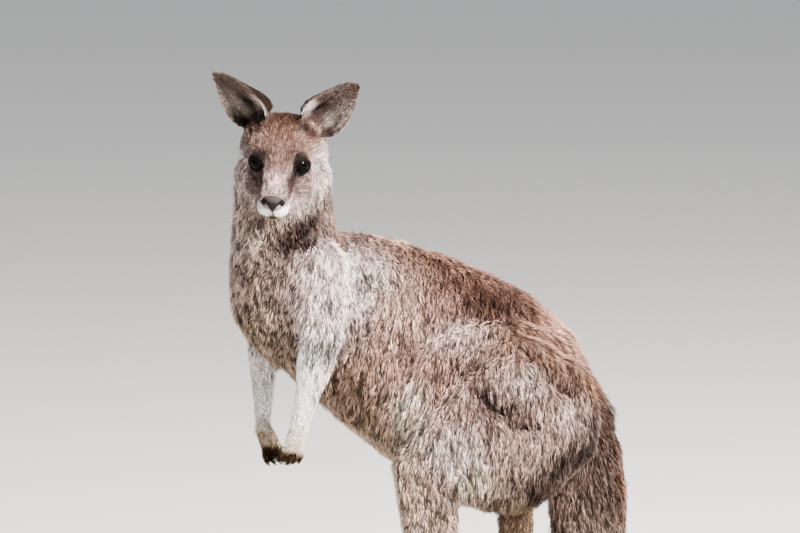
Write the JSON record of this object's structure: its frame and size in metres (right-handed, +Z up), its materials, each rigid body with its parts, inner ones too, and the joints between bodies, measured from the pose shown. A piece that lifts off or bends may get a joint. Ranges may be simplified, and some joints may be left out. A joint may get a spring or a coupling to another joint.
{
  "type": "kangaroo",
  "caption": "Life-size standing kangaroo in a shaggy coat, bowed over hanging arms, head turned to its left, resting on its long feet and tail.",
  "frame": {"origin": "on the floor, under the middle of the model's box", "axes": "+Z up; +Y towards the tip of the tail, so the body faces -Y; +X towards the animal's left, where the head is turned"},
  "size_m": [0.4134, 1.0992, 1.0025],
  "materials": {
    "coat": "matt thick fur, rufous brown on the back, pinkish grey-brown on the flanks, cream on the forearms and belly, dark on the digits",
    "nose": "bare, slightly moist dark skin",
    "eye": "wet, very dark brown",
    "claw": "dark horn, worn smooth"
  },
  "bodies": {
    "root": {"eye_left": "eye", "ear_left": "coat", "eye_right": "eye", "ear_right": "coat", "nose": "nose", "lower_jaw": "coat", "head": "coat", "foot_claw_fourth_left": "claw", "foot_claw_fifth_left": "claw", "foot_claw_second_left": "claw", "foot_claw_third_left": "claw", "toe_fourth_left": "coat", "toe_fifth_left": "coat", "toe_joined_second_third_left": "coat", "foot_left": "coat", "shank_left": "coat", "thigh_left": "coat", "foot_claw_fourth_right": "claw", "foot_claw_fifth_right": "claw", "foot_claw_second_right": "claw", "foot_claw_third_right": "claw", "toe_fourth_right": "coat", "toe_fifth_right": "coat", "toe_joined_second_third_right": "coat", "foot_right": "coat", "shank_right": "coat", "thigh_right": "coat", "hand_claw_1_left": "claw", "hand_claw_2_left": "claw", "hand_claw_3_left": "claw", "hand_claw_4_left": "claw", "hand_claw_5_left": "claw", "hand_left": "coat", "forearm_left": "coat", "upper_arm_left": "coat", "hand_claw_1_right": "claw", "hand_claw_2_right": "claw", "hand_claw_3_right": "claw", "hand_claw_4_right": "claw", "hand_claw_5_right": "claw", "hand_right": "coat", "forearm_right": "coat", "upper_arm_right": "coat", "neck": "coat", "chest": "coat", "abdomen": "coat", "rump": "coat", "tail_1": "coat", "tail_2": "coat", "tail_3": "coat", "tail_4": "coat", "scrotum": "coat"}
  },
  "joints": []
}
